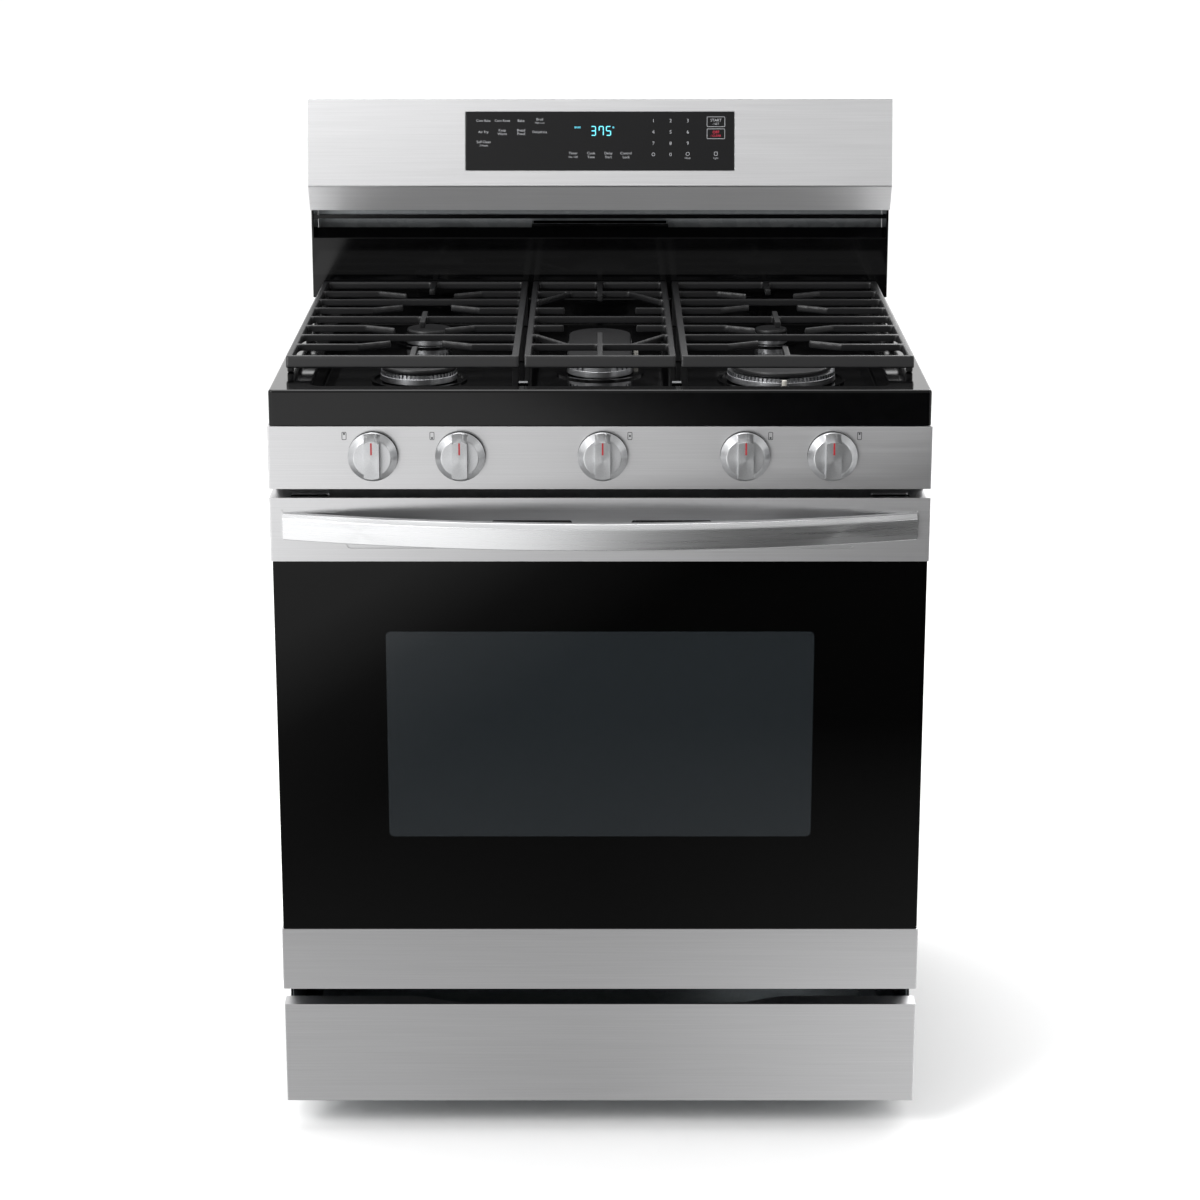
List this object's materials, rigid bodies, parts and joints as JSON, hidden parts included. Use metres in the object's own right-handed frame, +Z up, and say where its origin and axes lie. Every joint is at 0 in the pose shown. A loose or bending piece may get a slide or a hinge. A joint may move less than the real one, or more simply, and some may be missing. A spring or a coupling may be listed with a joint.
{
  "type": "freestanding gas range",
  "caption": "Freestanding gas range with a sealed-burner cooktop under cast grates, drop-down oven door, storage drawer, push-and-turn knobs and a rear control console.",
  "frame": {"origin": "on the floor under the middle of the bounding box", "axes": "+Z up, +X to the right of a person facing the range, the front and its door face -Y"},
  "size_m": [0.757, 0.7289, 1.178],
  "materials": {
    "stainless": "satin",
    "handle_steel": "polished",
    "galvanised": "satin",
    "casing_paint": "satin",
    "black_enamel": "gloss",
    "oven_enamel": "gloss",
    "grate_iron": "matte",
    "cap_enamel": "matte",
    "burner_alloy": "satin",
    "knob_metal": "satin",
    "spindle_steel": "satin",
    "black_glass": "gloss",
    "inner_glass": "gloss",
    "touch_glass": "gloss",
    "rack_chrome": "satin",
    "black_plastic": "satin",
    "gasket_rope": "matte",
    "mineral_wool": "matte",
    "spark_ceramic": "satin"
  },
  "bodies": {
    "range": {"side_panel_left": "casing_paint", "side_panel_right": "casing_paint", "rear_panel": "galvanised", "base_frame": "galvanised", "oven_cavity": "oven_enamel", "insulation": "mineral_wool", "rack_supports": "rack_chrome", "bake_burner": "galvanised", "oven_floor": "oven_enamel", "broil_burner": "galvanised", "fan_cover": "oven_enamel", "fan_motor": "galvanised", "oven_lamp": "inner_glass", "control_panel": "stainless", "knob_bezels": "black_plastic", "gas_manifold": "burner_alloy", "cooktop": "black_enamel", "igniters": "spark_ceramic", "backguard": "black_enamel", "console_housing": "stainless", "control_display": "touch_glass", "gas_regulator": "burner_alloy", "drawer_rails": "galvanised", "flue_duct": "black_enamel", "head_front_left": "burner_alloy", "head_rear_left": "burner_alloy", "head_centre": "burner_alloy", "head_rear_right": "burner_alloy", "head_front_right": "burner_alloy"},
    "oven_door": {"door_glass": "black_glass", "door_top_trim": "stainless", "door_bottom_trim": "stainless", "door_inner_panel": "oven_enamel", "door_inner_glass": "inner_glass", "door_gasket": "gasket_rope", "door_handle": "handle_steel", "door_hinges": "galvanised"},
    "storage_drawer": {"drawer_front": "stainless", "drawer_box": "galvanised"},
    "spindle_front_left": {"spindle_front_left": "spindle_steel"},
    "knob_front_left": {"knob_front_left": "knob_metal"},
    "spindle_rear_left": {"spindle_rear_left": "spindle_steel"},
    "knob_rear_left": {"knob_rear_left": "knob_metal"},
    "spindle_centre": {"spindle_centre": "spindle_steel"},
    "knob_centre": {"knob_centre": "knob_metal"},
    "spindle_rear_right": {"spindle_rear_right": "spindle_steel"},
    "knob_rear_right": {"knob_rear_right": "knob_metal"},
    "spindle_front_right": {"spindle_front_right": "spindle_steel"},
    "knob_front_right": {"knob_front_right": "knob_metal"},
    "cap_front_left": {"cap_front_left": "cap_enamel"},
    "cap_rear_left": {"cap_rear_left": "cap_enamel"},
    "cap_centre": {"cap_centre": "cap_enamel"},
    "cap_rear_right": {"cap_rear_right": "cap_enamel"},
    "cap_front_right": {"cap_front_right": "cap_enamel"},
    "grate_left": {"grate_left": "grate_iron"},
    "grate_centre": {"grate_centre": "grate_iron"},
    "grate_right": {"grate_right": "grate_iron"},
    "rack_lower": {"rack_lower": "rack_chrome"},
    "rack_upper": {"rack_upper": "rack_chrome"},
    "convection_fan": {"convection_fan": "galvanised"},
    "foot_front_left": {"foot_front_left": "black_plastic"},
    "foot_front_right": {"foot_front_right": "black_plastic"},
    "foot_rear_left": {"foot_rear_left": "black_plastic"},
    "foot_rear_right": {"foot_rear_right": "black_plastic"}
  },
  "joints": [
    {"name": "door_hinge", "type": "hinge", "parent": "range", "child": "oven_door", "pos_m": [0, -0.2755, 0.206], "axis": [1, 0, 0], "range_deg": [0, 90], "stiffness_Nm_per_rad": 22, "springref_deg": -9.17},
    {"name": "drawer_slide", "type": "slide", "parent": "range", "child": "storage_drawer", "axis": [0, -1, 0], "range_m": [0, 0.4]},
    {"name": "knob_front_left_push", "type": "slide", "parent": "range", "child": "spindle_front_left", "axis": [0, 1, 0], "range_m": [0, 0.003], "stiffness_N_per_m": 1200},
    {"name": "knob_front_left_turn", "type": "hinge", "parent": "spindle_front_left", "child": "knob_front_left", "pos_m": [-0.2585, -0.3155, 0.838], "axis": [0, -1, 0], "range_deg": [0, 230]},
    {"name": "knob_rear_left_push", "type": "slide", "parent": "range", "child": "spindle_rear_left", "axis": [0, 1, 0], "range_m": [0, 0.003], "stiffness_N_per_m": 1200},
    {"name": "knob_rear_left_turn", "type": "hinge", "parent": "spindle_rear_left", "child": "knob_rear_left", "pos_m": [-0.159, -0.3155, 0.838], "axis": [0, -1, 0], "range_deg": [0, 230]},
    {"name": "knob_centre_push", "type": "slide", "parent": "range", "child": "spindle_centre", "axis": [0, 1, 0], "range_m": [0, 0.003], "stiffness_N_per_m": 1200},
    {"name": "knob_centre_turn", "type": "hinge", "parent": "spindle_centre", "child": "knob_centre", "pos_m": [0.003, -0.3155, 0.838], "axis": [0, -1, 0], "range_deg": [0, 230]},
    {"name": "knob_rear_right_push", "type": "slide", "parent": "range", "child": "spindle_rear_right", "axis": [0, 1, 0], "range_m": [0, 0.003], "stiffness_N_per_m": 1200},
    {"name": "knob_rear_right_turn", "type": "hinge", "parent": "spindle_rear_right", "child": "knob_rear_right", "pos_m": [0.165, -0.3155, 0.838], "axis": [0, -1, 0], "range_deg": [0, 230]},
    {"name": "knob_front_right_push", "type": "slide", "parent": "range", "child": "spindle_front_right", "axis": [0, 1, 0], "range_m": [0, 0.003], "stiffness_N_per_m": 1200},
    {"name": "knob_front_right_turn", "type": "hinge", "parent": "spindle_front_right", "child": "knob_front_right", "pos_m": [0.2645, -0.3155, 0.838], "axis": [0, -1, 0], "range_deg": [0, 230]},
    {"name": "cap_front_left_lift", "type": "slide", "parent": "range", "child": "cap_front_left", "axis": [0, 0, 1], "range_m": [0, 0.02]},
    {"name": "cap_rear_left_lift", "type": "slide", "parent": "range", "child": "cap_rear_left", "axis": [0, 0, 1], "range_m": [0, 0.02]},
    {"name": "cap_centre_lift", "type": "slide", "parent": "range", "child": "cap_centre", "axis": [0, 0, 1], "range_m": [0, 0.02]},
    {"name": "cap_rear_right_lift", "type": "slide", "parent": "range", "child": "cap_rear_right", "axis": [0, 0, 1], "range_m": [0, 0.02]},
    {"name": "cap_front_right_lift", "type": "slide", "parent": "range", "child": "cap_front_right", "axis": [0, 0, 1], "range_m": [0, 0.02]},
    {"name": "grate_left_lift", "type": "slide", "parent": "range", "child": "grate_left", "axis": [0, 0, 1], "range_m": [0, 0.08]},
    {"name": "grate_centre_lift", "type": "slide", "parent": "range", "child": "grate_centre", "axis": [0, 0, 1], "range_m": [0, 0.08]},
    {"name": "grate_right_lift", "type": "slide", "parent": "range", "child": "grate_right", "axis": [0, 0, 1], "range_m": [0, 0.08]},
    {"name": "rack_lower_slide", "type": "slide", "parent": "range", "child": "rack_lower", "axis": [0, -1, 0], "range_m": [0, 0.205]},
    {"name": "rack_upper_slide", "type": "slide", "parent": "range", "child": "rack_upper", "axis": [0, -1, 0], "range_m": [0, 0.26]},
    {"name": "fan_spin", "type": "hinge", "parent": "range", "child": "convection_fan", "pos_m": [0, 0.2295, 0.487], "axis": [0, 1, 0], "continuous": true},
    {"name": "foot_front_left_turn", "type": "hinge", "parent": "range", "child": "foot_front_left", "pos_m": [-0.34, -0.1955, 0.02], "axis": [0, 0, 1], "continuous": true},
    {"name": "foot_front_right_turn", "type": "hinge", "parent": "range", "child": "foot_front_right", "pos_m": [0.34, -0.1955, 0.02], "axis": [0, 0, 1], "continuous": true},
    {"name": "foot_rear_left_turn", "type": "hinge", "parent": "range", "child": "foot_rear_left", "pos_m": [-0.34, 0.3145, 0.02], "axis": [0, 0, 1], "continuous": true},
    {"name": "foot_rear_right_turn", "type": "hinge", "parent": "range", "child": "foot_rear_right", "pos_m": [0.34, 0.3145, 0.02], "axis": [0, 0, 1], "continuous": true}
  ],
  "couplings": [
    {"joint": "rack_lower_slide", "follows": "door_hinge", "m_per_rad": 0.13},
    {"joint": "rack_upper_slide", "follows": "door_hinge", "m_per_rad": 0.165}
  ]
}
